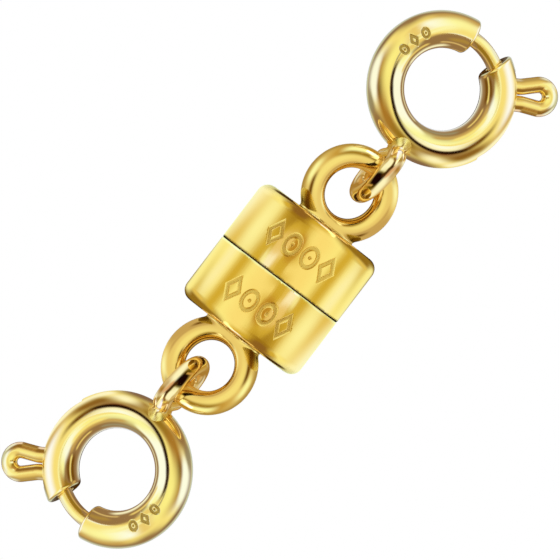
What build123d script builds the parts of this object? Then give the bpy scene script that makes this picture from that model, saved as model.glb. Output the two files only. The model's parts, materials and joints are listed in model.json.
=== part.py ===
from build123d import *
import os
from math import asin, atan2, cos, degrees, hypot, radians, sin

os.makedirs("parts", exist_ok=True)

# A magnetic barrel clasp with a spring ring on each end, lying on a table.
# Millimetres. X runs along the barrel towards spring ring A, Z is up, and the table is Z = 0.
# The origin is on the table under the middle of the seam. Half B is half A turned about Z.

# Cups and magnets
cup_dia = 5.4
cup_wall = 0.2
cup_end_wall = 0.56
cup_end_round = 0.45
cup_rim_round = 0.05
seam_gap = 0.04
magnet_clear = 0.05
magnet_thick = 2.0
magnet_recess = 0.04
magnet_edge_round = 0.1

# End ring, soldered into the closed end of the cup
end_ring_od = 3.8
end_ring_bar = 0.91
end_ring_sunk = 0.38
end_ring_offset = 0.13
end_ring_roll = 19.0

# Spring ring tube. Angles are in degrees, anticlockwise about its own axis from its lowest side.
tube_ring_od = 6.0
tube_dia = 1.436
tube_wall = 0.2
tube_end_round = 0.15
gap_low_angle = 23.5
gap_low_skew_angle = 10.0
gap_high_angle = 59.0
collar_length = 0.12
lean_heading = -52.7

# Bolt and its thumb loop. Stretches of the bolt and its slot are measured along the tube's middle line.
bolt_wire = 0.59
bolt_clear = 0.05
bolt_overlap = 0.2
bolt_tail = 1.8
bolt_end_round = 0.12
loop_angle = -4.5
loop_reach = 4.64
loop_base_half = 0.318
loop_knee = 2.95
loop_knee_bend = 1.5
loop_eye_radius = 0.46
open_margin = 0.02
slot_clear = 0.06
slot_end_clear = 0.2

# Link between the spring ring and the end ring, soldered to the tube
link_wire = 0.72
link_play = 0.14
link_slack = 0.32
link_rest_gap = 0.06
link_sunk = 0.33
link_root_angle = 232.6
link_heading = 229.0
link_on_end_ring = -17.5
solder_radius = 0.3
solder_angle = 230.5
solder_rise = 42.0

# Values worked out from the sizes above
axis_height = cup_dia / 2
cavity_depth = magnet_recess + magnet_thick + magnet_clear
cup_length = cavity_depth + cup_end_wall
cup_mouth_x = seam_gap / 2
cup_end_x = cup_mouth_x + cup_length
bar_radius = end_ring_bar / 2
end_ring_mid = end_ring_od / 2 - bar_radius
tube_radius = tube_dia / 2
tube_mid = tube_ring_od / 2 - tube_radius
bore_radius = tube_radius - tube_wall
bolt_radius = bolt_wire / 2
link_radius = link_wire / 2
base_at_origin = (Align.CENTER, Align.CENTER, Align.MIN)
same_plane = 1e-4
full_turn = 360


def ring_point(radius, angle, height=0.0):
    """A point given by radius, angle in degrees and height above the plane of its ring."""
    return Vector(radius * cos(radians(angle)), radius * sin(radians(angle)), height)


def along_tube(length):
    """The angle that a length along the middle line of the tube takes up."""
    return degrees(length / tube_mid)


def ring_bar(mid_radius, radius, start, end):
    """A round bar bent on mid_radius about Z, from the start angle to the end angle."""
    section = Plane.XZ * Pos(mid_radius, 0) * Circle(radius)
    return Rot(0, 0, start) * revolve(section, Axis.Z, end - start)


def section_plane(angle, skew=0.0):
    """The plane across the spring ring's tube at an angle, turned by the skew about its middle line."""
    facing = ring_point(1, angle + skew + 90)
    return Plane(origin=ring_point(tube_mid, angle), x_dir=Vector(0, 0, 1), z_dir=facing)


def round_end(bar, plane, radius):
    """Round the rim of the bar's end face that lies in the plane."""
    def in_plane(edge):
        return all(abs(plane.to_local_coords(edge @ share).Z) < same_plane for share in (0, 0.3, 0.6))
    return fillet(bar.edges().filter_by(in_plane), radius)


# The end ring lies in a plane through the barrel's axis, rolled about that axis.
end_ring_centre = Vector(cup_end_x - end_ring_sunk + end_ring_od / 2, -end_ring_offset, axis_height)
end_ring_place = Pos(*end_ring_centre) * Rot(end_ring_roll, 0, 0)
crossing = (end_ring_place * Pos(*ring_point(end_ring_mid, link_on_end_ring))).position

# In the plane of the spring ring, the link starts at the tube's middle line and runs straight out.
# Its hole is an oval round the bar of the end ring, with its mouth end against the tube.
link_root = ring_point(tube_mid, link_root_angle)
link_line = ring_point(1, link_heading)
link_half = bar_radius + link_play + link_radius
link_base = tube_radius + link_radius - link_sunk
link_bar_at = link_base + link_half
link_tip = link_bar_at + bar_radius + link_slack + link_radius
link_crossing = link_root + link_line * link_bar_at
bar_rise = link_play - link_rest_gap

# The spring ring leans: its link hangs on the end ring, and its thumb loop touches the table.
loop_mid_reach = (loop_reach - bolt_radius) * cos(radians(loop_angle))
lean_span = loop_mid_reach - link_crossing.X
lean = degrees(asin((crossing.Z - bolt_radius) / hypot(lean_span, bar_rise)) - atan2(bar_rise, lean_span))
downhill = Vector(cos(radians(lean_heading)), sin(radians(lean_heading)), 0)
lean_x = downhill * cos(radians(lean)) - Vector(0, 0, sin(radians(lean)))
lean_z = downhill * sin(radians(lean)) + Vector(0, 0, cos(radians(lean)))
lean_y = lean_z.cross(lean_x)
ring_centre = crossing - lean_x * link_crossing.X - lean_y * link_crossing.Y - lean_z * bar_rise
ring_place = Plane(origin=ring_centre, x_dir=lean_x, z_dir=lean_z).location

# The thumb loop turns with the bolt until the bolt's tip is clear of the gap.
bolt_tip_angle = gap_high_angle + along_tube(bolt_overlap)
bolt_tail_angle = loop_angle - along_tube(bolt_tail)
bolt_turn = bolt_tip_angle - gap_low_angle + along_tube(open_margin)
loop_half_angle = degrees(asin((loop_base_half + bolt_radius) / (tube_mid + bore_radius)))
slot_high_angle = loop_angle + loop_half_angle + along_tube(slot_end_clear)
slot_low_angle = loop_angle - bolt_turn - loop_half_angle - along_tube(slot_end_clear)


def make_cup():
    """Cup with its mouth at the seam and the end ring soldered into its closed end."""
    to_x_axis = Pos(cup_mouth_x, 0, axis_height) * Rot(0, 90, 0)
    shell = to_x_axis * Cylinder(cup_dia / 2, cup_length, align=base_at_origin)
    rims = shell.edges().filter_by(GeomType.CIRCLE).sort_by(Axis.X)
    shell = fillet(rims[-1], cup_end_round)
    rims = shell.edges().filter_by(GeomType.CIRCLE).sort_by(Axis.X)
    shell = fillet(rims[0], cup_rim_round)
    end_ring = end_ring_place * Torus(end_ring_mid, bar_radius)
    cavity = to_x_axis * Cylinder(cup_dia / 2 - cup_wall, cavity_depth, align=base_at_origin)
    return shell + end_ring - cavity


def make_magnet():
    """Disc magnet, a running gap inside the cup and a little below its mouth."""
    radius = cup_dia / 2 - cup_wall - magnet_clear
    disc = Cylinder(radius, magnet_thick, align=base_at_origin)
    disc = fillet(disc.edges().filter_by(GeomType.CIRCLE), magnet_edge_round)
    return Pos(cup_mouth_x + magnet_recess, 0, axis_height) * Rot(0, 90, 0) * disc


def make_link():
    """Oval link, standing square to the plane of the spring ring: two half rings and two strands."""
    straight = link_tip - link_base - 2 * link_half
    strand = Rot(0, 90, 0) * Cylinder(link_radius, straight, align=base_at_origin)
    strands = [Pos(0, side * link_half) * strand for side in (1, -1)]
    base_end = ring_bar(link_half, link_radius, 90, 270)
    tip_end = Pos(straight, 0) * ring_bar(link_half, link_radius, -90, 90)
    link_plane = Plane(origin=link_root, x_dir=link_line, z_dir=link_line.cross(Vector(0, 0, 1)))
    return link_plane * Pos(link_base + link_half, 0) * (base_end + strands + tip_end)


def make_spring_ring():
    """Hollow C-shaped tube with collars in its ends, a slot for the thumb loop, and the link."""
    tube_end_angle = gap_low_angle + full_turn
    low_face = section_plane(gap_low_angle, gap_low_skew_angle)
    high_face = section_plane(gap_high_angle)
    half_gap = tube_mid * radians(gap_high_angle - gap_low_angle) / 2
    beyond = low_face * Box(2 * tube_dia, 2 * tube_dia, half_gap, align=base_at_origin)
    tube = ring_bar(tube_mid, tube_radius, gap_high_angle, tube_end_angle + gap_low_skew_angle) - beyond
    tube = round_end(tube, low_face, tube_end_round)
    tube = round_end(tube, high_face, tube_end_round)
    solder_out = tube_mid + tube_radius * cos(radians(solder_rise))
    solder_up = tube_radius * sin(radians(solder_rise))
    solder = Pos(*ring_point(solder_out, solder_angle, solder_up)) * Sphere(solder_radius)
    collar = along_tube(collar_length)
    bore = ring_bar(tube_mid, bore_radius, gap_high_angle + collar, tube_end_angle - collar)
    passage_radius = bolt_radius + bolt_clear
    passage = ring_bar(tube_mid, passage_radius, gap_high_angle - collar, tube_end_angle + collar)
    slot_half = bolt_radius + slot_clear
    slot_section = Plane.XZ * Pos(tube_mid, 0) * Rectangle(
        tube_dia, 2 * slot_half, align=(Align.MIN, Align.CENTER))
    slot = Rot(0, 0, slot_low_angle) * revolve(slot_section, Axis.Z, slot_high_angle - slot_low_angle)
    return tube + make_link() + solder - bore - passage - slot


def make_bolt():
    """Curved wire bolt, and the hairpin thumb loop that stands out through the slot."""
    wire = ring_bar(tube_mid, bolt_radius, bolt_tail_angle, bolt_tip_angle)
    for angle in (bolt_tail_angle, bolt_tip_angle):
        wire = round_end(wire, section_plane(angle), bolt_end_round)
    eye_centre = loop_reach - bolt_radius - loop_eye_radius
    foot = Vector(tube_mid, loop_base_half)
    knee = Vector(loop_knee, loop_base_half)
    to_eye = Vector(eye_centre, 0) - knee
    splay = atan2(to_eye.Y, to_eye.X) + asin(loop_eye_radius / to_eye.length)
    touch = Vector(eye_centre - loop_eye_radius * sin(splay), loop_eye_radius * cos(splay))
    strand = FilletPolyline(foot, knee, touch, radius=loop_knee_bend)
    eye = ThreePointArc(touch, (eye_centre + loop_eye_radius, 0), (touch.X, -touch.Y))
    path = Wire(strand.edges() + eye.edges() + mirror(strand, Plane.XZ).edges())
    section = Plane.YZ * Pos(loop_base_half, 0) * Circle(bolt_radius)
    hairpin = sweep(Pos(tube_mid, 0) * section, path=path)
    return wire + Rot(0, 0, loop_angle) * hairpin


half = {
    "cup": make_cup(),
    "magnet": make_magnet(),
    "spring_ring": ring_place * make_spring_ring(),
    "bolt": ring_place * make_bolt(),
}
for side, turn in (("a", 0), ("b", 180)):
    for name, shape in half.items():
        export_step(Rot(0, 0, turn) * shape, f"parts/{name}_{side}.step")

print("lean", round(lean, 2), "ring centre", [round(v, 4) for v in ring_centre])
print("ring axis", [round(v, 5) for v in lean_z], "bolt turn", round(bolt_turn, 2))
print("slot", round(slot_low_angle, 2), round(slot_high_angle, 2))
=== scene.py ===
import json
from math import asin, atan2, cos, degrees, hypot, radians, sin, tan

import bmesh
import bpy
import numpy as np
from mathutils import Matrix, Vector


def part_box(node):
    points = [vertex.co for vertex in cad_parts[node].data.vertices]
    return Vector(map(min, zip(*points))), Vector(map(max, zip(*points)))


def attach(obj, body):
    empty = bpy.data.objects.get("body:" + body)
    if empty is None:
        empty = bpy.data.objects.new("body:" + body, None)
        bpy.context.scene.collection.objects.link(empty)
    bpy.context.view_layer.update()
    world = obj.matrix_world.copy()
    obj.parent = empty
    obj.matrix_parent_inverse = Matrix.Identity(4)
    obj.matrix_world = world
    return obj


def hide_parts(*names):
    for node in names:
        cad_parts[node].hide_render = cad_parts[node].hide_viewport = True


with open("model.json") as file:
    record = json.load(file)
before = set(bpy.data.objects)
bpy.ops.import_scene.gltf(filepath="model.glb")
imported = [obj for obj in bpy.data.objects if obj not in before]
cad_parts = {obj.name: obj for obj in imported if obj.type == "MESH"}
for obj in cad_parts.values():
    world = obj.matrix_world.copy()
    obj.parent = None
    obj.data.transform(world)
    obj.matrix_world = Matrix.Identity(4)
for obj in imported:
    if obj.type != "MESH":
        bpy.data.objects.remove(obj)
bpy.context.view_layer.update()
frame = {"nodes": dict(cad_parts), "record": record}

# A magnetic barrel clasp with a spring ring on each end, lying closed on the table.
# Shapes are worked out in millimetres and turned into metres where their meshes are made.
MM = 0.001

# What the frame says: the barrel, and where spring ring A lies
cup_low, cup_high = (np.array(corner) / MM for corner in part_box("cup_a"))
joints = {joint["name"]: joint for joint in frame["record"]["behaviour"]["joints"]}
ring_centre = np.array(joints["bolt_a_turn"]["pos_m"]) / MM
ring_up = -np.array(joints["bolt_a_turn"]["axis"])
ring_up /= np.linalg.norm(ring_up)
ring_along = np.array((ring_up[0] * ring_up[2], ring_up[1] * ring_up[2], ring_up[2] ** 2 - 1))
ring_along /= np.linalg.norm(ring_along)
ring_axes = np.array((ring_along, np.cross(ring_up, ring_along), ring_up))

# Cup and end ring, with a painted shadow and a painted highlight at the seam and a painted shadow at the end
# ring's foot
cup_radius = (cup_high[2] - cup_low[2]) / 2
axis_height = (cup_high[2] + cup_low[2]) / 2
cup_mouth_x = cup_low[0]
cup_length = 2.65
cup_end_x = cup_mouth_x + cup_length
cavity_depth = 2.09
cup_wall = 0.2
cup_end_round = 0.45
cup_rim_round = 0.045
cup_lip_reach = 0.0195
seam_shadow = 0.04
seam_highlight = 0.055
seam_fade = 0.02
foot_shadow = 0.75
foot_shadow_reach = 1.5
foot_shadow_start = 0.3
foot_shadow_fade = 0.1
end_ring_radius = 1.9
end_ring_bar_radius = 0.455
end_ring_offset = 0.13
end_ring_roll = 19.0
end_ring_mid = end_ring_radius - end_ring_bar_radius
end_ring_x = cup_high[0] - end_ring_radius

# Spring ring, in its own axes: x to its lowest side, z along its axis
tube_ring_radius = 3.0
tube_radius = 0.718
tube_mid = tube_ring_radius - tube_radius
tube_wall = 0.2
tube_end_round = 0.13
bore_radius = tube_radius - tube_wall
gap_low_angle = 23.5
gap_low_skew_angle = 10.0
gap_high_angle = 59.0
collar_length = 0.12
passage_radius = 0.345
slot_half_height = 0.355
slot_low_angle = -63.2
slot_high_angle = 13.2
edge_round = 0.03

# Bolt and thumb loop
bolt_radius = 0.295
bolt_tip_angle = 64.0
bolt_tail_angle = -49.7
loop_angle = -3.9
loop_reach = 4.67
loop_wire_radius = 0.31
loop_base_half = 0.324
loop_knee = 3.16
loop_knee_bend = 1.2
loop_eye_radius = 0.455
loop_fillet = 0.1

# Link and its solder
link_radius = 0.36
link_half = 0.955
link_base = 0.748
link_straight = 0.18
link_root_angle = 232.6
link_heading = 229.0
solder_angle = 230.5
solder_rise = 42.0
solder_radius = 0.3
solder_fillet = 0.22
solder_skirt = 0.08
solder_reach = 0.42
blob_fillet = 0.2
link_waist = 0.1
solder_full = 1.15
root_overlap = 0.03

# Engraved marks: a row of four on each cup, and a smaller row of three on each spring ring
stroke_reach = 1.5
lozenge_slope = 0.62
dotted_ring_narrow = 0.72
dotted_ring_share = 0.85
dotted_ring_flat = 0.8
cup_mark_depth = 0.05
cup_mark_stroke = 0.066
cup_mark_x = cup_mouth_x + 1.3
cup_mark_half = 0.46
cup_mark_pitch = 17.5
ring_mark_angle = 126.5
ring_mark_pitch = 13.4
ring_mark_half = 0.21
ring_mark_stroke = 0.045
ring_mark_depth = 0.04

# How finely the pieces are meshed, and the boxes that hold them
sharp_bend = 22.0
flattest_slope = 0.05
cup_cell = 0.07
end_ring_cell = 0.05
spring_ring_cell = 0.06
link_cell = 0.05
bolt_cell = 0.045
margin = 0.15
end_ring_side = 1.4
spring_ring_corner = np.array((3.15, 3.15, 0.9))
link_box_low = (-4.6, -4.8, -1.5)
link_box_high = (-0.8, -1.2, 1.5)
bolt_box_low = (-0.2, -3.0, -0.45)
bolt_box_high = (4.8, 2.6, 0.45)


def rounded_both(a, b, radius):
    """Distance to what lies in both shapes, with the edge between them rounded."""
    near = np.hypot(np.maximum(a + radius, 0), np.maximum(b + radius, 0))
    return np.minimum(np.maximum(a, b), -radius) + near


def filleted(a, b, width):
    """Distance to what lies in either shape, with a fillet between them."""
    share = np.maximum(width - np.abs(a - b), 0) / width
    return np.minimum(a, b) - share * share * width / 4


def to_segment(x, y, start, end):
    """Flat distance to a straight stretch."""
    run = np.subtract(end, start)
    share = ((x - start[0]) * run[0] + (y - start[1]) * run[1]) / (run @ run)
    share = np.clip(share, 0, 1)
    return np.hypot(x - start[0] - share * run[0], y - start[1] - share * run[1])


def to_arc(x, y, centre, radius, low, high):
    """Flat distance to an arc from the low to the high angle in degrees."""
    across, along = x - centre[0], y - centre[1]
    middle, half = radians((low + high) / 2), radians((high - low) / 2)
    turned = np.arctan2(along, across) - middle
    turned = np.abs((turned + np.pi) % (2 * np.pi) - np.pi)
    beyond = np.maximum(turned - half, 0)
    out = np.hypot(across, along)
    return np.hypot(out * np.cos(beyond) - radius, out * np.sin(np.minimum(beyond, np.pi / 2)))


def stroke(distance, half_width, depth):
    """How far a groove with soft sides is sunk, from the flat distance to its middle line."""
    share = np.clip(stroke_reach - distance / half_width, 0, 1)
    return depth * share * share * (3 - 2 * share)


def lozenge(x, y, half):
    """Flat distance to the outline of an upright lozenge."""
    inside = (np.abs(x) / lozenge_slope + np.abs(y)) - half
    return np.abs(inside) * lozenge_slope / hypot(1, lozenge_slope)


def dotted_ring(x, y, half):
    """Flat distance to the outline of a small ring with a dot in it."""
    out = np.hypot(x / dotted_ring_narrow, y)
    return np.minimum(np.abs(out - half * dotted_ring_share) * dotted_ring_flat, out)


def cup_marks(p):
    """How deep the four engraved marks on the crest of the cup are."""
    around = np.degrees(np.arctan2(p[:, 1], p[:, 2] - axis_height))
    sunk = np.zeros(len(p))
    for place, outline in zip((-1.5, -0.5, 0.5, 1.5), (lozenge, dotted_ring, dotted_ring, lozenge)):
        along = np.radians(around - place * cup_mark_pitch) * cup_radius
        flat = outline(along, p[:, 0] - cup_mark_x, cup_mark_half)
        sunk = np.maximum(sunk, stroke(flat, cup_mark_stroke, cup_mark_depth))
    return sunk


def seam_share(p, width):
    """1 on the rim that meets the other cup, fading out at the width from the mouth."""
    return np.clip((cup_mouth_x + width - p[:, 0]) / seam_fade, 0, 1)


def cup_distance(p):
    """The barrel half: a drawn cup, rounded at its closed end, open at the seam."""
    out = np.hypot(p[:, 1], p[:, 2] - axis_height)
    shell = rounded_both(out - cup_radius, p[:, 0] - cup_end_x, cup_end_round)
    shell = rounded_both(shell, cup_mouth_x - cup_lip_reach - p[:, 0], cup_rim_round)
    cavity = np.maximum(out - cup_radius + cup_wall, p[:, 0] - cup_mouth_x - cavity_depth)
    shell = rounded_both(shell, -cavity, edge_round)
    return shell + np.where(out > cup_radius - cup_wall / 2, cup_marks(p), 0)


def end_ring_distance(p):
    """The round end ring, with its solder where it enters the end of the cup."""
    x = p[:, 0] - end_ring_x
    y = p[:, 1] + end_ring_offset
    z = p[:, 2] - axis_height
    roll = radians(end_ring_roll)
    flat = y * cos(roll) + z * sin(roll)
    off = z * cos(roll) - y * sin(roll)
    bar = np.hypot(np.hypot(x, flat) - end_ring_mid, off) - end_ring_bar_radius
    wall = p[:, 0] - cup_end_x
    skirt = np.maximum(filleted(bar, wall, solder_fillet), bar - solder_skirt)
    return np.maximum(skirt, -wall - root_overlap)


def foot_share(p):
    """Shadow in the corner where the end ring enters the cup, fading out over the end wall."""
    near = np.clip(1 - end_ring_distance(p) / foot_shadow_reach, 0, 1)
    on_end = np.clip((p[:, 0] - cup_end_x + foot_shadow_start) / foot_shadow_fade, 0, 1)
    return foot_shadow * near * on_end


def gap_depth(p):
    """Positive in the gap of the spring ring, negative inside its C."""
    def beyond(angle, facing):
        corner = tube_mid * cos(radians(angle)), tube_mid * sin(radians(angle))
        return (p[:, 0] - corner[0]) * cos(radians(facing)) + (p[:, 1] - corner[1]) * sin(radians(facing))
    past_low = beyond(gap_low_angle, gap_low_angle + gap_low_skew_angle + 90)
    past_high = beyond(gap_high_angle, gap_high_angle - 90)
    return np.minimum(past_low, past_high)


def link_distance(p):
    """The oval link: a closed loop of round wire standing square to the spring ring."""
    root = tube_mid * cos(radians(link_root_angle)), tube_mid * sin(radians(link_root_angle))
    run = cos(radians(link_heading)), sin(radians(link_heading))
    along = (p[:, 0] - root[0]) * run[0] + (p[:, 1] - root[1]) * run[1]
    across = (p[:, 1] - root[1]) * run[0] - (p[:, 0] - root[0]) * run[1]
    first = link_base + link_half
    past = along - np.clip(along, first, first + link_straight)
    return np.hypot(np.hypot(past, p[:, 2]) - link_half, across) - link_radius


def soldered_link_distance(p):
    """The link with its lump of solder, spreading where it meets the spring ring's tube."""
    wire = link_distance(p) + link_waist * solder_share(p)
    blob_out = tube_mid + tube_radius * cos(radians(solder_rise))
    blob = (blob_out * cos(radians(solder_angle)), blob_out * sin(radians(solder_angle)),
            tube_radius * sin(radians(solder_rise)))
    wire = filleted(wire, np.linalg.norm(p - blob, axis=1) - solder_radius, blob_fillet)
    tube = np.hypot(np.hypot(p[:, 0], p[:, 1]) - tube_mid, p[:, 2]) - tube_radius
    skirt = np.maximum(filleted(wire, tube, solder_fillet), wire - solder_skirt)
    return np.maximum(skirt, -tube - root_overlap)


def solder_share(p):
    """1 on the solder between link and tube, fading to 0 along the link."""
    tube = np.hypot(np.hypot(p[:, 0], p[:, 1]) - tube_mid, p[:, 2]) - tube_radius
    share = np.clip(solder_full - tube / solder_reach, 0, 1)
    return share * share * (3 - 2 * share)


def ring_marks(p):
    """How deep the three small marks on the crest of the spring ring's tube are."""
    angle = np.degrees(np.arctan2(p[:, 1], p[:, 0])) % 360
    side = np.arctan2(np.hypot(p[:, 0], p[:, 1]) - tube_mid, p[:, 2]) * tube_radius
    sunk = np.zeros(len(p))
    for place, outline in zip((-1, 0, 1), (dotted_ring, lozenge, dotted_ring)):
        along = np.radians(angle - ring_mark_angle - place * ring_mark_pitch) * tube_mid
        flat = outline(along, side, ring_mark_half)
        sunk = np.maximum(sunk, stroke(flat, ring_mark_stroke, ring_mark_depth))
    return sunk


def spring_ring_distance(p):
    """The hollow C of tube with its collars and slot, in the ring's own axes."""
    out = np.hypot(p[:, 0], p[:, 1])
    from_mid = np.hypot(out - tube_mid, p[:, 2])
    gap = gap_depth(p)
    body = rounded_both(from_mid - tube_radius, gap, tube_end_round)
    body = body + np.where(p[:, 2] > 0, ring_marks(p), 0)
    bore = np.maximum(from_mid - bore_radius, gap + collar_length)
    body = rounded_both(body, -bore, edge_round)
    body = rounded_both(body, passage_radius - from_mid, edge_round)
    middle, half = (slot_low_angle + slot_high_angle) / 2, (slot_high_angle - slot_low_angle) / 2
    turned = np.abs((np.degrees(np.arctan2(p[:, 1], p[:, 0])) - middle + 180) % 360 - 180)
    slot = np.maximum(np.abs(p[:, 2]) - slot_half_height, np.radians(turned - half) * out)
    slot = np.maximum(slot, tube_mid - out)
    return rounded_both(body, -slot, edge_round)


def bolt_distance(p):
    """The curved bolt and its hairpin thumb loop, in the ring's own axes."""
    wire = np.hypot(to_arc(p[:, 0], p[:, 1], (0, 0), tube_mid, bolt_tail_angle, bolt_tip_angle), p[:, 2])
    turn = radians(loop_angle)
    x = p[:, 0] * cos(turn) + p[:, 1] * sin(turn)
    y = np.abs(p[:, 1] * cos(turn) - p[:, 0] * sin(turn))
    eye_x = loop_reach - loop_wire_radius - loop_eye_radius
    splay = atan2(-loop_base_half, eye_x - loop_knee)
    splay += asin(loop_eye_radius / hypot(eye_x - loop_knee, loop_base_half))
    tangent = loop_knee_bend * tan(splay / 2)
    bend_from = loop_knee - tangent, loop_base_half
    bend_centre = bend_from[0], loop_base_half + loop_knee_bend
    bend_to = loop_knee + tangent * cos(splay), loop_base_half + tangent * sin(splay)
    touch = eye_x - loop_eye_radius * sin(splay), loop_eye_radius * cos(splay)
    flat = to_segment(x, y, (tube_mid, loop_base_half), bend_from)
    flat = np.minimum(flat, to_arc(x, y, bend_centre, loop_knee_bend, -90, degrees(splay) - 90))
    flat = np.minimum(flat, to_segment(x, y, bend_to, touch))
    reach = 90 + degrees(splay)
    flat = np.minimum(flat, to_arc(x, y, (eye_x, 0), loop_eye_radius, -reach, reach))
    return filleted(wire - bolt_radius, np.hypot(flat, p[:, 2]) - loop_wire_radius, loop_fillet)


def surface_net(distance, low, high, cell):
    """Points and four-sided faces of the surface where the distance is nought."""
    low = np.array(low, float)
    counts = np.ceil((np.array(high) - low) / cell).astype(int) + 1
    lines = [low[k] + cell * np.arange(counts[k]) for k in range(3)]
    flat = np.stack(np.meshgrid(lines[1], lines[2], indexing="ij"), -1).reshape(-1, 2)
    values = np.empty(counts)
    for i, x in enumerate(lines[0]):
        values[i] = distance(np.column_stack((np.full(len(flat), x), flat))).reshape(counts[1:])
    inside = values < 0
    total = np.zeros((*(counts - 1), 3))
    hits = np.zeros(counts - 1)
    crossings = []
    for axis in range(3):
        first = [slice(None)] * 3
        second = [slice(None)] * 3
        first[axis], second[axis] = slice(0, -1), slice(1, None)
        a, b = values[tuple(first)], values[tuple(second)]
        crossing = inside[tuple(first)] != inside[tuple(second)]
        share = np.where(crossing, a / np.where(crossing, a - b, 1), 0)
        others = [(axis + 1) % 3, (axis + 2) % 3]
        for up_one in (0, 1):
            for up_two in (0, 1):
                view = [slice(None)] * 3
                view[others[0]] = slice(up_one, up_one + counts[others[0]] - 1)
                view[others[1]] = slice(up_two, up_two + counts[others[1]] - 1)
                here = crossing[tuple(view)]
                hits += here
                total[..., axis] += share[tuple(view)]
                total[..., others[0]] += here * up_one
                total[..., others[1]] += here * up_two
        crossings.append((crossing, inside[tuple(first)], others))
    mixed = hits > 0
    ids = np.full(counts - 1, -1)
    ids[mixed] = np.arange(mixed.sum())
    points = low + cell * (np.argwhere(mixed) + total[mixed] / hits[mixed][:, None])
    faces = []
    for axis, (crossing, starts_inside, others) in enumerate(crossings):
        places = np.argwhere(crossing)
        outward = starts_inside[crossing]
        corners = []
        for down_one, down_two in ((1, 1), (0, 1), (0, 0), (1, 0)):
            at = places.copy()
            at[:, others[0]] -= down_one
            at[:, others[1]] -= down_two
            corners.append(ids[tuple(at.T)])
        quads = np.stack(corners, 1)
        quads[~outward] = quads[~outward][:, ::-1]
        faces.append(quads)
    return points, np.concatenate(faces)


def slope(distance, points, step=1e-4):
    """The gradient of the distance at each point."""
    parts = []
    for axis in range(3):
        move = np.zeros(3)
        move[axis] = step
        parts.append((distance(points + move) - distance(points - move)) / (2 * step))
    return np.stack(parts, 1)


def settled(distance, points, reach, rounds=5):
    """The points moved onto the surface, each round by no more than the reach."""
    for _ in range(rounds):
        way = slope(distance, points)
        steep = np.maximum((way ** 2).sum(1), flattest_slope)
        move = distance(points)[:, None] * way / steep[:, None]
        length = np.linalg.norm(move, axis=1)
        move *= np.minimum(1, reach / np.maximum(length, 1e-9))[:, None]
        points = points - move
    return points


def refined(points, faces, wanted):
    """The mesh with each edge divided whose ends say so."""
    mesh = bpy.data.meshes.new("work")
    mesh.from_pydata(points.tolist(), [], faces)
    ends = np.empty(len(mesh.edges) * 2, np.int32)
    mesh.edges.foreach_get("vertices", ends)
    chosen = wanted(points, ends.reshape(-1, 2))
    work = bmesh.new()
    work.from_mesh(mesh)
    work.edges.ensure_lookup_table()
    edges = [work.edges[i] for i in np.flatnonzero(chosen)]
    bmesh.ops.subdivide_edges(work, edges=edges, cuts=1, use_grid_fill=True)
    bmesh.ops.triangulate(work, faces=[face for face in work.faces if len(face.verts) > 4])
    work.to_mesh(mesh)
    work.free()
    flat = np.empty(len(mesh.vertices) * 3)
    mesh.vertices.foreach_get("co", flat)
    corners = [tuple(face.vertices) for face in mesh.polygons]
    bpy.data.meshes.remove(mesh)
    return flat.reshape(-1, 3), corners


def shaped(distance, low, high, cell, rounds, fine=None):
    """Points, faces and normals of a piece, finer where it bends sharply or where fine says."""
    points, faces = surface_net(distance, low, high, cell)
    points = settled(distance, points, cell / 2)
    faces = [tuple(face) for face in faces.tolist()]
    for _ in range(rounds):
        cell /= 2
        way = slope(distance, points)
        way /= np.linalg.norm(way, axis=1)[:, None]

        def wanted(places, ends):
            bend = (way[ends[:, 0]] * way[ends[:, 1]]).sum(1) < cos(radians(sharp_bend))
            if fine is None:
                return bend
            marked = fine(places) > 0
            return bend | marked[ends[:, 0]] | marked[ends[:, 1]]
        points, faces = refined(points, faces, wanted)
        points = settled(distance, points, cell / 2)
    way = slope(distance, points)
    way /= np.linalg.norm(way, axis=1)[:, None]
    return points, faces, way


def make_piece(name, shape, turn, body, nodes, slot, material, **layers):
    """A mesh object of a worked-out shape, turned about the middle of the clasp by half turns."""
    points, faces, way = shape
    flip = np.array((-1, -1, 1)) if turn else np.ones(3)
    mesh = bpy.data.meshes.new(name)
    mesh.from_pydata((points * flip * MM).tolist(), [], faces)
    mesh.polygons.foreach_set("use_smooth", [True] * len(mesh.polygons))
    mesh.normals_split_custom_set_from_vertices((way * flip).tolist())
    for layer_name, values in layers.items():
        layer = mesh.attributes.new(layer_name, "FLOAT", "POINT")
        layer.data.foreach_set("value", values.astype(np.float32))
    mesh.materials.append(material)
    piece = bpy.data.objects.new(name, mesh)
    bpy.context.scene.collection.objects.link(piece)
    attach(piece, body)
    if nodes:
        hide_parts(*nodes)
    return piece


def from_ring(shape):
    """A shape from the spring ring's own axes, put where ring A lies."""
    points, faces, way = shape
    return points @ ring_axes + ring_centre, faces, way @ ring_axes


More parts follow.
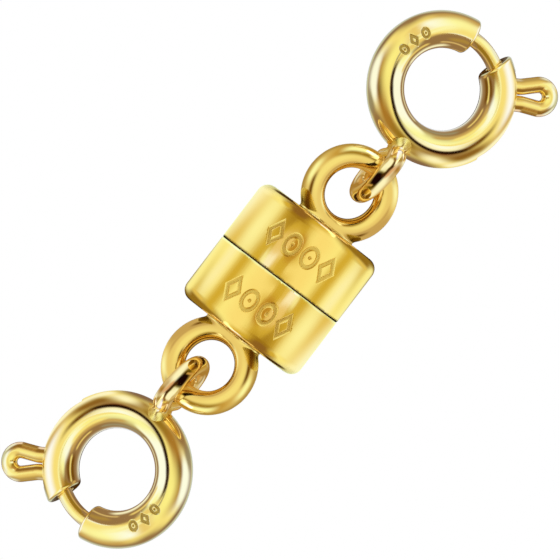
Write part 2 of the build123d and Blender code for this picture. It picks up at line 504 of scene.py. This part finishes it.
class Nodes:
    """A short way to write a node tree."""

    def __init__(self, tree):
        self.tree = tree
        tree.nodes.clear()

    def fill(self, socket, value):
        """Link another node's socket to this one, or set its value."""
        if isinstance(value, bpy.types.NodeSocket):
            self.tree.links.new(value, socket)
        else:
            socket.default_value = value

    def add(self, kind, inputs=None, **settings):
        """A node with its settings and inputs."""
        node = self.tree.nodes.new(kind)
        for key, value in settings.items():
            setattr(node, key, value)
        for key, value in (inputs or {}).items():
            self.fill(node.inputs[key], value)
        return node

    def math(self, operation, *values):
        """A number worked out from numbers."""
        return self.add("ShaderNodeMath", dict(enumerate(values)), operation=operation).outputs[0]

    def hypot(self, first, second):
        """The length of two numbers laid off at right angles."""
        squares = [self.math("MULTIPLY", value, value) for value in (first, second)]
        return self.math("SQRT", self.math("ADD", *squares))

    def vector(self, operation, *values, **inputs):
        """A vector worked out from vectors, or a number where the operation gives one."""
        node = self.add("ShaderNodeVectorMath", {**dict(enumerate(values)), **inputs}, operation=operation)
        gives_number = operation in ("DOT_PRODUCT", "DISTANCE", "LENGTH")
        return node.outputs["Value" if gives_number else "Vector"]

    def mix(self, factor, first, second):
        """A colour between two colours."""
        node = self.add("ShaderNodeMix", data_type="RGBA")
        for key, value in (("Factor", factor), ("A", first), ("B", second)):
            self.fill([s for s in node.inputs if s.name == key and s.enabled][0], value)
        return [s for s in node.outputs if s.enabled][0]

    def ramp(self, value, low, high):
        """A smooth rise from 0 at the low value to 1 at the high one."""
        node = self.add("ShaderNodeMapRange", {0: value, 1: low, 2: high}, interpolation_type="SMOOTHSTEP")
        return node.outputs[0]

    def noise(self, place, scale, detail):
        """Even noise of that scale."""
        return self.add("ShaderNodeTexNoise", {"Vector": place, "Scale": scale, "Detail": detail}).outputs[0]

    def layer(self, name):
        """What the points of a piece carry under that name, and 0 where they carry nothing."""
        return self.add("ShaderNodeAttribute", attribute_name=name).outputs["Fac"]


# Colours and grain of the metals
white = (1, 1, 1, 1)
black = (0, 0, 0, 1)
gold_colour = (1.0, 0.8, 0.36)
gold_deep = (1.0, 0.78, 0.33)
barrel_colour = (1.0, 0.745, 0.325)
barrel_deep = (1.0, 0.725, 0.3)
rose_colour = (1.0, 0.76, 0.44)
rose_deep = (1.0, 0.74, 0.4)
nickel_colour = (0.72, 0.7, 0.66)
nickel_deep = (0.66, 0.64, 0.6)
# Painted shade: the grooves of the engraved marks are darkened by the metal's shade factor
groove_shade_tone = (0.42, 0.26, 0.04, 1)
shadow_tone = (0.05, 0.02, 0.003, 1)
# Painted highlight: a pale cream line on cup B's rim where the cups meet
painted_highlight_tone = (1.0, 0.93, 0.68, 1)
solder_tone = (1.0, 0.76, 0.24, 1)
drift_scale = 420.0
drift_low = 0.35
drift_high = 0.7
line_scale = 1900.0
line_stretch = (1.0, 9.0, 4.0)
speck_scale = 5200.0
speck_share = 0.35
grain_height = 0.00001
groove_roughness = 0.4
solder_roughness = 0.3


def metal_tone(nodes, place, colour, deep, shade):
    """The drifting colour of a metal, with painted shade in its grooves, painted shadows, a painted
    highlight on the lip and the colour of its solder.
    """
    drift = nodes.ramp(nodes.noise(place, drift_scale, 3.0), drift_low, drift_high)
    tone = nodes.mix(drift, (*colour, 1), (*deep, 1))
    tone = nodes.mix(nodes.math("MULTIPLY", nodes.layer("engraved"), shade), tone, groove_shade_tone)
    tone = nodes.mix(nodes.layer("shadowed"), tone, shadow_tone)
    tone = nodes.mix(nodes.layer("polished"), tone, painted_highlight_tone)
    return nodes.mix(nodes.layer("soldered"), tone, solder_tone)


def metal(name, colour, deep, roughness, spread, grain, shade=0.18, in_shadow=False):
    """Polished plated metal: its colour drifts a little, and polishing lines vary its gloss.

    Where some of it is in shadow, its edges there lose their shine too.
    """
    material = bpy.data.materials.new(name)
    material.use_nodes = True
    nodes = Nodes(material.node_tree)
    place = nodes.add("ShaderNodeTexCoord").outputs["Object"]
    stretched = nodes.add("ShaderNodeMapping", {"Vector": place, "Scale": line_stretch}).outputs[0]
    lines = nodes.noise(stretched, line_scale, 4.0)
    gloss = nodes.math("MULTIPLY_ADD", lines, spread, roughness - spread / 2)
    gloss = nodes.math("MULTIPLY_ADD", nodes.layer("engraved"), groove_roughness, gloss)
    gloss = nodes.math("MULTIPLY_ADD", nodes.layer("soldered"), solder_roughness, gloss)
    height = nodes.math("MULTIPLY_ADD", nodes.noise(place, speck_scale, 2.0), speck_share, lines)
    bump = nodes.add("ShaderNodeBump", {"Height": height, "Strength": grain, "Distance": grain_height})
    shader = nodes.add("ShaderNodeBsdfPrincipled", {
        "Base Color": metal_tone(nodes, place, colour, deep, shade),
        "Metallic": 1.0,
        "Roughness": gloss,
        "Normal": bump.outputs[0]})
    if in_shadow:
        nodes.fill(shader.inputs["Specular Tint"], nodes.mix(nodes.layer("shadowed"), white, black))
    nodes.add("ShaderNodeOutputMaterial", {"Surface": shader.outputs[0]})
    return material


# The camera looks straight down. Its right and up are the picture's.
picture_right = Vector((0.606, -0.7955, 0)).normalized()
picture_up = Vector((0.7955, 0.606, 0)).normalized()
picture_side = 21.17 * MM
lens = 600.0
sensor = 36.0
camera_distance = picture_side * lens / sensor
mid_height = 2.2 * MM
picture_shift = picture_right * (0.0151 * MM) + picture_up * (-0.0246 * MM)

# The light table
floor_half = 2.6
floor_drop = 0.02


def make_camera():
    """The camera over the middle of the clasp, square to the table."""
    data = bpy.data.cameras.new("camera")
    data.lens = lens
    data.sensor_width = sensor
    data.clip_start = 0.01
    data.clip_end = 10.0
    camera = bpy.data.objects.new("camera", data)
    turned = Matrix((picture_right, picture_up, Vector((0, 0, 1)))).transposed().to_4x4()
    place = picture_shift + Vector((0, 0, mid_height + camera_distance))
    camera.matrix_world = Matrix.Translation(place) @ turned
    bpy.context.scene.collection.objects.link(camera)
    bpy.context.scene.camera = camera


def make_floor():
    """A plain white light table."""
    mesh = bpy.data.meshes.new("floor")
    corners = [(x * floor_half, y * floor_half, 0) for x, y in ((-1, -1), (1, -1), (1, 1), (-1, 1))]
    mesh.from_pydata(corners, [], [(0, 1, 2, 3)])
    mesh.materials.append(light_material("floor", (1, 1, 1)))
    floor = bpy.data.objects.new("floor", mesh)
    floor.location.z = -floor_drop * MM
    bpy.context.scene.collection.objects.link(floor)
    floor.visible_glossy = False
    floor.visible_diffuse = False


def make_world():
    """White all round, and colours shown as they are."""
    world = bpy.data.worlds.new("world")
    bpy.context.scene.world = world
    world.use_nodes = True
    world.node_tree.nodes["Background"].inputs["Color"].default_value = white
    bpy.context.scene.view_settings.view_transform = "Standard"
    bpy.context.scene.cycles.transparent_max_bounces = 32


def to_linear(shown):
    """A display value from 0 to 255 as linear light."""
    share = shown / 255
    return share / 12.92 if share < 0.04 else ((share + 0.055) / 1.055) ** 2.4


def light_on(metal_colour, tones):
    """The light that gives each named tone, as the eye sees it, on a metal of that colour."""
    return {name: tuple(to_linear(shown) / own for shown, own in zip(tone, metal_colour))
            for name, tone in tones.items()}


def toned(light, palette):
    """The shapes of light, with the light itself in place of each tone's name."""
    return [(*shape, palette[tone]) for *shape, tone in light]


class Sky:
    """The flat chart of a dome or column, and the shapes of light laid out on it."""

    def __init__(self, nodes, chart):
        self.nodes = nodes
        self.place = nodes.add("ShaderNodeTexCoord").outputs["Object"]
        self.flat = getattr(self, chart)()

    def from_zenith(self):
        """Degrees from straight up, laid out flat to the right and up as the camera sees the table."""
        nodes = self.nodes
        way = nodes.vector("NORMALIZE", self.place)
        across = nodes.vector("DOT_PRODUCT", way, picture_right)
        along = nodes.vector("DOT_PRODUCT", way, picture_up)
        height = nodes.add("ShaderNodeSeparateXYZ", {0: way}).outputs[2]
        polar = nodes.math("DEGREES", nodes.math("ARCCOSINE", height))
        scale = nodes.math("DIVIDE", polar, nodes.math("MAXIMUM", nodes.hypot(across, along), 1e-6))
        flat = nodes.add("ShaderNodeCombineXYZ", {0: across, 1: along}).outputs[0]
        return nodes.vector("SCALE", flat, Scale=scale)

    def round_barrel(self):
        """Degrees about the barrel from straight up, and tenths of a millimetre along it from the seam."""
        nodes = self.nodes
        x, y, z = nodes.add("ShaderNodeSeparateXYZ", {0: self.place}).outputs
        about = nodes.math("DEGREES", nodes.math("ARCTAN2", nodes.math("MULTIPLY", y, -1.0), z))
        along = nodes.math("MULTIPLY", x, 10 / MM)
        return nodes.add("ShaderNodeCombineXYZ", {0: about, 1: along}).outputs[0]

    def round_column(self):
        """Degrees round the column in a ring's eye, from the ring's gap, and degrees up its side."""
        nodes = self.nodes
        x, y, z = nodes.add("ShaderNodeSeparateXYZ", {0: self.place}).outputs
        back = nodes.math("ARCTAN2", nodes.math("MULTIPLY", y, -1.0), nodes.math("MULTIPLY", x, -1.0))
        about = nodes.math("ADD", nodes.math("DEGREES", back), 180.0)
        up = nodes.math("DEGREES", nodes.math("ARCTAN2", z, MM))
        return nodes.add("ShaderNodeCombineXYZ", {0: about, 1: up}).outputs[0]

    def near(self, distance, half_width, soft):
        """1 within the half width, fading to 0 over the soft edge."""
        return self.nodes.ramp(distance, half_width + soft / 2, max(half_width - soft / 2, 0))

    def spot(self, x, y, half_width, soft):
        """A round patch."""
        return self.near(self.nodes.vector("DISTANCE", self.flat, (x, y, 0)), half_width, soft)

    def streak(self, x, y, to_x, to_y, half_width, soft):
        """A straight strip with round ends."""
        nodes = self.nodes
        run = Vector((to_x - x, to_y - y, 0))
        start = nodes.vector("SUBTRACT", self.flat, (x, y, 0))
        share = nodes.vector("DOT_PRODUCT", start, run / run.length_squared)
        share = nodes.add("ShaderNodeClamp", {0: share}).outputs[0]
        foot = nodes.vector("SCALE", tuple(run), Scale=share)
        return self.near(nodes.vector("DISTANCE", start, foot), half_width, soft)

    def arc(self, x, y, radius, low, high, half_width, soft):
        """A strip bent round a centre, from the low to the high angle."""
        nodes = self.nodes
        middle = radians((low + high) / 2)
        start = nodes.vector("SUBTRACT", self.flat, (x, y, 0))
        ahead = nodes.vector("DOT_PRODUCT", start, (cos(middle), sin(middle), 0))
        aside = nodes.vector("DOT_PRODUCT", start, (-sin(middle), cos(middle), 0))
        turned = nodes.math("DEGREES", nodes.math("ARCTAN2", aside, ahead))
        beyond = nodes.math("SUBTRACT", nodes.math("ABSOLUTE", turned), (high - low) / 2)
        beyond = nodes.math("MULTIPLY", nodes.math("MAXIMUM", beyond, 0.0), radians(radius))
        off = nodes.math("SUBTRACT", nodes.vector("LENGTH", start), radius)
        return self.near(nodes.hypot(beyond, off), half_width, soft)


def light_material(name, base, parts=(), chart="from_zenith", solid=True):
    """Light of a base tone with shapes of light over it. What isn't solid lets all other light through."""
    material = bpy.data.materials.new(name)
    material.use_nodes = True
    material.cycles.emission_sampling = "NONE"
    nodes = Nodes(material.node_tree)
    sky = Sky(nodes, chart)
    colour = (*base, 1)
    for kind, *shape, tone in parts:
        colour = nodes.mix(getattr(sky, kind)(*shape), colour, (*tone, 1))
    glow = nodes.add("ShaderNodeEmission", {"Color": colour, "Strength": 1.0}).outputs[0]
    if not solid:
        clear = nodes.add("ShaderNodeBsdfTransparent").outputs[0]
        glow = nodes.add("ShaderNodeAddShader", {0: glow, 1: clear}).outputs[0]
    nodes.add("ShaderNodeOutputMaterial", {"Surface": glow})
    return material


def make_sky(name, work, place, half, material, receivers=()):
    """A dome or column of light round some of the pieces, lighting only them and moving with their half."""
    mesh = bpy.data.meshes.new(name)
    work.to_mesh(mesh)
    work.free()
    mesh.materials.append(material)
    dome = bpy.data.objects.new(name, mesh)
    dome.matrix_world = place
    dome.visible_camera = False
    bpy.context.scene.collection.objects.link(dome)
    if receivers:
        group = bpy.data.collections.new(name)
        for piece in receivers:
            group.objects.link(piece)
        dome.light_linking.receiver_collection = group
    if half:
        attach(dome, half)


def ball(radius):
    """The surface of a dome, all the way round."""
    work = bmesh.new()
    bmesh.ops.create_icosphere(work, subdivisions=5, radius=radius * MM)
    return work


def column(radius, low, high):
    """The side of an upright column."""
    work = bmesh.new()
    radius, depth = radius * MM, (high - low) * MM
    bmesh.ops.create_cone(work, segments=180, radius1=radius, radius2=radius, depth=depth)
    bmesh.ops.translate(work, verts=work.verts, vec=(0, 0, (high + low) / 2 * MM))
    return work


gold = metal("polished_gold", gold_colour, gold_deep, roughness=0.1, spread=0.02, grain=0.04, shade=0.85)
barrel_gold = metal(
    "barrel_gold", barrel_colour, barrel_deep, roughness=0.13, spread=0.04, grain=0.12, shade=0.4,
    in_shadow=True)
wire_gold = metal("wire_gold", gold_colour, gold_deep, roughness=0.11, spread=0.03, grain=0.1)
rose_gold = metal("rose_gold", rose_colour, rose_deep, roughness=0.07, spread=0.03, grain=0.08)
nickel = metal("nickel", nickel_colour, nickel_deep, roughness=0.18, spread=0.06, grain=0.2)

cup_shape = shaped(
    cup_distance,
    (cup_mouth_x - margin, -cup_radius - margin, axis_height - cup_radius - margin),
    (cup_end_x + margin, cup_radius + margin, axis_height + cup_radius + margin),
    cup_cell, 2, cup_marks)
end_ring_shape = shaped(
    end_ring_distance,
    (cup_end_x - margin, -end_ring_radius - 2 * margin, axis_height - end_ring_side),
    (cup_high[0] + margin, end_ring_radius + margin, axis_height + end_ring_side),
    end_ring_cell, 1)
spring_ring_shape = shaped(
    spring_ring_distance, -spring_ring_corner, spring_ring_corner, spring_ring_cell, 2, ring_marks)
link_shape = shaped(soldered_link_distance, link_box_low, link_box_high, link_cell, 1)
bolt_shape = shaped(bolt_distance, bolt_box_low, bolt_box_high, bolt_cell, 0)

cup_depth = cup_marks(cup_shape[0]) / cup_mark_depth
# Painted shadow on cup A's rim and painted highlight on cup B's rim at the seam, and painted shadow round
# the end ring's foot
rim_shadow = seam_share(cup_shape[0], seam_shadow)
rim_painted_highlight = seam_share(cup_shape[0], seam_highlight)
end_shadow = foot_share(cup_shape[0])
ring_upper = spring_ring_shape[0][:, 2] > 0
ring_depth = np.where(ring_upper, ring_marks(spring_ring_shape[0]) / ring_mark_depth, 0)
link_solder = solder_share(link_shape[0])
spring_ring_shape = from_ring(spring_ring_shape)
link_shape = from_ring(link_shape)
bolt_shape = from_ring(bolt_shape)

# Half B is half A turned about the middle. Where they meet, A's rim carries a painted shadow and B's rim a
# painted highlight.
halves = (("a", 0), ("b", 180))
pieces = {}
for side, turn in halves:
    half = f"half_{side}"
    pieces[side] = {
        "cup": make_piece(
            f"cup_shell_{side}", cup_shape, turn, half, [f"cup_{side}"], "gold_cup", barrel_gold,
            engraved=cup_depth, shadowed=end_shadow + rim_shadow * (side == "a"),
            polished=rim_painted_highlight * (side == "b")),
        "end_ring": make_piece(
            f"end_ring_{side}", end_ring_shape, turn, half, [], "gold_cup", gold),
        "spring_ring": make_piece(
            f"spring_ring_shell_{side}", spring_ring_shape, turn, half, [f"spring_ring_{side}"],
            "gold_ring", gold, engraved=ring_depth),
        "link": make_piece(
            f"link_{side}", link_shape, turn, half, [], "gold_ring", rose_gold, soldered=link_solder),
        "bolt": make_piece(
            f"bolt_wire_{side}", bolt_shape, turn, f"bolt_{side}", [f"bolt_{side}"],
            "gold_wire", wire_gold),
    }
    magnet = frame["nodes"][f"magnet_{side}"]
    magnet.data.materials.clear()
    magnet.data.materials.append(nickel)
    pieces[side]["magnet"] = magnet

# The tones that the light gives, as the eye sees them on the metal
tones = {
    "silver": (214, 211, 203),
    "steel": (132, 129, 122),
    "white": (255, 253, 240),
    "cream": (254, 254, 223),
    "ivory": (255, 245, 188),
    "lemon": (254, 249, 161),
    "straw": (254, 247, 170),
    "yellow": (253, 240, 133),
    "pearl": (238, 234, 196),
    "maize": (251, 228, 122),
    "butter": (247, 223, 122),
    "peach": (238, 208, 165),
    "sand": (223, 209, 155),
    "gold": (235, 203, 109),
    "saffron": (228, 196, 84),
    "sage": (201, 196, 146),
    "wheat": (213, 179, 105),
    "apricot": (222, 165, 105),
    "mustard": (211, 175, 50),
    "honey": (200, 161, 84),
    "amber": (203, 150, 65),
    "ochre": (189, 138, 37),
    "stone": (154, 140, 100),
    "brass": (172, 135, 59),
    "copper": (169, 118, 40),
    "tan": (150, 114, 66),
    "bronze": (157, 117, 24),
    "moss": (148, 111, 26),
    "umber": (133, 100, 63),
    "brown": (141, 98, 33),
    "olive": (125, 94, 10),
    "rust": (112, 69, 4),
    "dark": (72, 41, 5),
    "maroon": (106, 14, 8),
    "black": (24, 4, 2),
}
on_gold = light_on(gold_colour, tones)
on_rose = light_on(rose_colour, tones)
on_nickel = light_on(nickel_colour, tones)

# Shapes of light, each over the ones before it: where it lies on its chart, its half width, the width
# of its soft edge and its tone. A streak has two ends, an arc a centre, a radius and two angles.
barrel_light = [
    ("streak", -36, 10, 13, 97, 24, 21, "mustard"),
    ("streak", -53, 129, -31, 33, 17, 24, "bronze"),
    ("streak", 73, 75, 154, 35, 35, 43, "moss"),
    ("streak", 55, 1, 57, 46, 10, 18, "mustard"),
    ("streak", 10, 4, -23, 10, 12, 3, "mustard"),
    ("streak", -101, 122, -176, 113, 62, 17, "moss"),
    ("streak", -105, 83, -34, 52, 13, 15, "brown"),
    ("streak", -89, -30, -96, 1, 30, 43, "saffron"),
    ("streak", 37, -53, 9, 42, 13, 25, "maize"),
    ("streak", -27, 2, -22, 9, 6, 3, "ivory"),
    ("streak", 83, 1, 82, 12, 10, 19, "straw"),
    ("streak", 133, -19, 120, 23, 16, 20, "yellow"),
    ("streak", -28, 11, -19, 13, 5, 3, "gold"),
    ("streak", 77, 40, 97, 28, 7, 14, "saffron"),
    ("streak", -120, 24, -107, 32, 16, 36, "straw"),
    ("streak", -9, 13, -6, 13, 6, 3, "ochre"),
    ("streak", -32, -2, -35, 4, 2, 6, "lemon"),
    ("streak", -54, 44, -63, 52, 6, 12, "mustard"),
    ("streak", -72, 11, -71, 13, 14, 28, "lemon"),
    ("streak", 0, 5, 19, 7, 2, 5, "maize"),
    ("streak", -17, -3, -18, 6, 2, 6, "saffron"),
]
magnet_light = [
    ("spot", 0, 0, 40, 70, "white"),
    ("arc", 0, 0, 150, -180, 180, 45, 50, "steel"),
]
# The dark or warm light that comes from near the table, seen in the steepest sides
barrel_low = [
    ("streak", -70, 76, 70, 76, 8, 3, "dark"),
    ("streak", 215, 40, 215, 90, 70, 8, "dark"),
    ("streak", -240, 95, -130, 95, 45, 8, "dark"),
]
tube_low = [("arc", 0, 0, 180, -180, 180, 34, 14, "dark")]
wire_low = [("arc", 0, 0, 180, -180, 180, 36, 14, "rust")]
link_low = [("arc", 0, 0, 175, -180, 180, 36, 20, "copper")]
tube_light = [
    ("spot", 51, 133, 70, 25, "honey"),
    ("arc", 16, 2, 113, 15, 180, 16, 24, "umber"),
    ("arc", 6, -1, 142, 24, 222, 29, 24, "sage"),
    ("spot", -64, 15, 28, 40, "cream"),
    ("spot", -91, -20, 19, 18, "stone"),
    ("spot", -70, -51, 28, 23, "tan"),
    ("spot", 29, 51, 23, 39, "lemon"),
    ("streak", 8, 57, 15, 40, 12, 28, "cream"),
    ("streak", -40, 19, -31, -28, 22, 28, "copper"),
    ("spot", -13, -46, 18, 24, "moss"),
    ("streak", -66, 29, -68, 1, 11, 17, "cream"),
    ("streak", 75, 48, 91, -27, 14, 36, "white"),
    ("spot", 136, -81, 70, 26, "wheat"),
    ("spot", -43, 2, 9, 23, "rust"),
    ("spot", -31, 91, 17, 40, "tan"),
    ("spot", -14, 19, 23, 47, "yellow"),
    ("streak", 5, -57, -18, -71, 4, 25, "brass"),
    ("spot", -38, -119, 39, 44, "umber"),
    ("streak", 25, -107, 126, -48, 13, 16, "ivory"),
    ("spot", 8, -78, 14, 27, "ivory"),
    ("streak", 37, -70, 52, -60, 16, 28, "brown"),
    ("spot", 25, -43, 13, 37, "maroon"),
    ("arc", 31, -22, 16, 158, 349, 10, 15, "rust"),
    ("arc", 29, -22, 20, 136, 295, 6, 10, "black"),
    ("spot", 30, -21, 12, 11, "ivory"),
    ("streak", 8, 1, 11, 20, 3, 7, "stone"),
    ("streak", 33, 32, 31, -12, 2, 10, "straw"),
    ("streak", 33, -18, 36, -7, 2, 8, "cream"),
    ("streak", 12, 33, -8, 56, 6, 18, "gold"),
]
eye_light = [
    ("streak", 297, 67, 283, 92, 24, 14, "cream"),
    ("streak", 107, 50, 194, 51, 18, 10, "cream"),
    ("streak", 210, 60, 271, 72, 20, 45, "lemon"),
    ("streak", 137, 73, 163, 75, 7, 12, "black"),
    ("streak", 49, 8, 97, 11, 7, 18, "ivory"),
    ("streak", 198, -29, 323, -41, 22, 45, "pearl"),
    ("streak", 110, 16, 186, 17, 4, 9, "sand"),
    ("streak", 90, 78, 129, 74, 5, 9, "black"),
    ("streak", 172, 83, 220, 91, 11, 7, "black"),
    ("streak", 310, 19, 328, 17, 7, 15, "rust"),
    ("streak", 319, 59, 324, 81, 7, 14, "lemon"),
    ("streak", 307, 28, 332, 28, 3, 6, "butter"),
    ("streak", 315, 36, 328, 35, 5, 10, "rust"),
    ("streak", 270, 20, 293, 19, 3, 6, "gold"),
    ("streak", 69, 34, 114, 37, 3, 10, "gold"),
    ("streak", 229, 40, 296, 37, 5, 14, "honey"),
    ("streak", 82, 61, 97, 55, 11, 23, "lemon"),
    ("streak", 365, 28, 343, 52, 13, 9, "moss"),
    ("streak", 7, 83, 79, 64, 11, 11, "gold"),
    ("streak", 256, 49, 289, 48, 6, 12, "maize"),
    ("streak", 8, 26, 47, 28, 3, 5, "wheat"),
    ("streak", 354, -56, 352, -29, 19, 22, "umber"),
    ("streak", 343, 14, 377, 2, 9, 3, "honey"),
    ("streak", 198, 17, 247, 17, 5, 13, "stone"),
    ("streak", 275, 61, 315, 85, 4, 11, "yellow"),
    ("streak", 367, 83, 333, 69, 9, 18, "ochre"),
    ("streak", 31, 41, 13, 50, 5, 12, "brass"),
    ("streak", 19, -32, -11, -2, 13, 11, "honey"),
]
end_ring_light = [
    ("arc", -3, 9, 106, 30, 183, 30, 60, "brass"),
    ("spot", 58, -110, 70, 37, "honey"),
    ("streak", -55, 27, -47, 41, 14, 28, "lemon"),
    ("spot", 8, 61, 32, 60, "ochre"),
    ("streak", 22, 70, 33, 66, 20, 31, "lemon"),
    ("streak", 18, 40, 48, 32, 15, 24, "bronze"),
    ("spot", 82, 15, 9, 25, "moss"),
    ("spot", 98, -11, 19, 38, "straw"),
    ("streak", -33, 4, -47, -24, 13, 21, "rust"),
    ("spot", -30, -57, 38, 4, "moss"),
    ("spot", 29, -69, 12, 16, "rust"),
    ("spot", 6, 6, 28, 31, "butter"),
    ("streak", 26, -57, 61, -39, 6, 17, "honey"),
]
link_light = [
    ("spot", -75, 32, 68, 16, "honey"),
    ("spot", -64, 181, 69, 60, "honey"),
    ("spot", -81, -30, 68, 60, "ochre"),
    ("spot", -26, -18, 24, 25, "olive"),
    ("streak", 80, -6, 137, -41, 23, 51, "copper"),
    ("streak", -17, 34, -16, 19, 41, 30, "black"),
    ("streak", -0, 80, 24, 26, 25, 16, "dark"),
    ("streak", -76, 25, -31, -10, 4, 8, "amber"),
    ("streak", -24, 73, 12, 47, 16, 23, "butter"),
    ("spot", 36, 131, 70, 60, "amber"),
    ("streak", 71, 45, 85, 40, 20, 18, "brass"),
    ("streak", 96, 57, 130, 29, 10, 42, "ivory"),
    ("streak", -129, 89, -65, 167, 14, 21, "honey"),
    ("streak", -15, 66, 13, 45, 15, 11, "ivory"),
    ("streak", 106, -77, 76, -138, 48, 60, "wheat"),
    ("streak", 34, 2, 55, 7, 8, 22, "apricot"),
    ("streak", -40, 95, -60, 111, 9, 21, "white"),
    ("streak", -20, 83, -60, 119, 10, 30, "brass"),
    ("streak", 63, 47, 13, 72, 3, 6, "saffron"),
    ("streak", 25, 58, 46, 39, 2, 8, "brown"),
    ("streak", -15, 77, -48, 95, 2, 18, "wheat"),
]
bolt_light = [
    ("spot", -9, -38, 47, 19, "amber"),
    ("streak", 63, -51, 55, -77, 35, 4, "brown"),
    ("spot", -26, -109, 54, 60, "brown"),
    ("spot", 60, 121, 67, 60, "brass"),
    ("streak", 106, 57, 71, 24, 15, 40, "pearl"),
    ("spot", 71, 107, 28, 56, "pearl"),
    ("spot", 75, -4, 26, 20, "cream"),
    ("spot", 146, -44, 70, 57, "sage"),
    ("spot", -62, -6, 61, 60, "moss"),
    ("spot", 47, -127, 39, 10, "peach"),
    ("streak", 68, -90, 93, -68, 19, 23, "pearl"),
    ("streak", 18, -37, 44, -2, 6, 12, "lemon"),
    ("streak", -9, 30, -2, 12, 28, 42, "yellow"),
    ("streak", 40, -29, 46, -20, 8, 21, "honey"),
    ("streak", 45, 11, 68, 40, 6, 12, "yellow"),
    ("streak", 39, -23, 42, -4, 2, 8, "butter"),
    ("streak", 55, 16, 81, 54, 7, 16, "straw"),
]

# A dome for each kind of piece, and a column in the eye of each spring ring. Sizes in millimetres.
barrel_sky_radius = 7.0
magnet_sky_radius = 5.5
end_ring_sky_radius = 4.5
link_sky_radius = 4.5
bolt_sky_radius = 60.0
tube_sky_radius = 6.5
outer_radius = 900.0
column_radius = 1.3
column_low = -1.6
column_high = 6.3
column_seam_angle = 40.0

# Each dome's centre, for half A. The link's is given in the axes of the spring ring.
barrel_centre = (0, 0, axis_height)
end_ring_centre = (end_ring_x, -end_ring_offset, axis_height)
link_from_ring = (-2.9925, -3.6575, 0)
link_centre = ring_centre + ring_axes.T @ link_from_ring

# Name, centre, radius, chart, base tone, shapes of light, palette, and the pieces that it lights
skies = [
    ("barrel", barrel_centre, barrel_sky_radius, "round_barrel", "yellow",
     barrel_light + barrel_low, on_gold, ("cup",)),
    ("magnet", barrel_centre, magnet_sky_radius, "from_zenith", "silver",
     magnet_light, on_nickel, ("magnet",)),
    ("end_ring", end_ring_centre, end_ring_sky_radius, "from_zenith", "gold",
     end_ring_light + wire_low, on_gold, ("end_ring",)),
    ("link", link_centre, link_sky_radius, "from_zenith", "ivory",
     link_light + link_low, on_rose, ("link",)),
    ("bolt", ring_centre, bolt_sky_radius, "from_zenith", "gold",
     bolt_light + wire_low, on_gold, ("bolt",)),
    ("tube", ring_centre, tube_sky_radius, "from_zenith", "butter",
     tube_light + tube_low, on_gold, ("spring_ring",)),
]


def make_skies(side, turn):
    """All the domes of one half, and the column in the eye of its spring ring."""
    half = f"half_{side}"
    turned = Matrix.Rotation(radians(turn), 4, "Z")
    for name, centre, radius, chart, base, light, palette, members in skies:
        name = f"{name}_sky_{side}"
        place = turned @ Matrix.Translation(Vector(centre) * MM)
        material = light_material(name, palette[base], toned(light, palette), chart, solid=False)
        make_sky(name, ball(radius), place, half, material, [pieces[side][member] for member in members])
    name = f"eye_sky_{side}"
    place = Matrix.Translation(Vector(ring_centre) * MM) @ Matrix(ring_axes.T).to_4x4()
    place = turned @ place @ Matrix.Rotation(radians(column_seam_angle), 4, "Z")
    material = light_material(name, on_gold["tan"], toned(eye_light, on_gold), "round_column")
    make_sky(name, column(column_radius, column_low, column_high), place, half, material)


make_camera()
make_floor()
make_world()
for side, turn in halves:
    make_skies(side, turn)
make_sky("outer_dark", ball(outer_radius), Matrix.Identity(4), None, light_material("outer_dark", (0, 0, 0)))
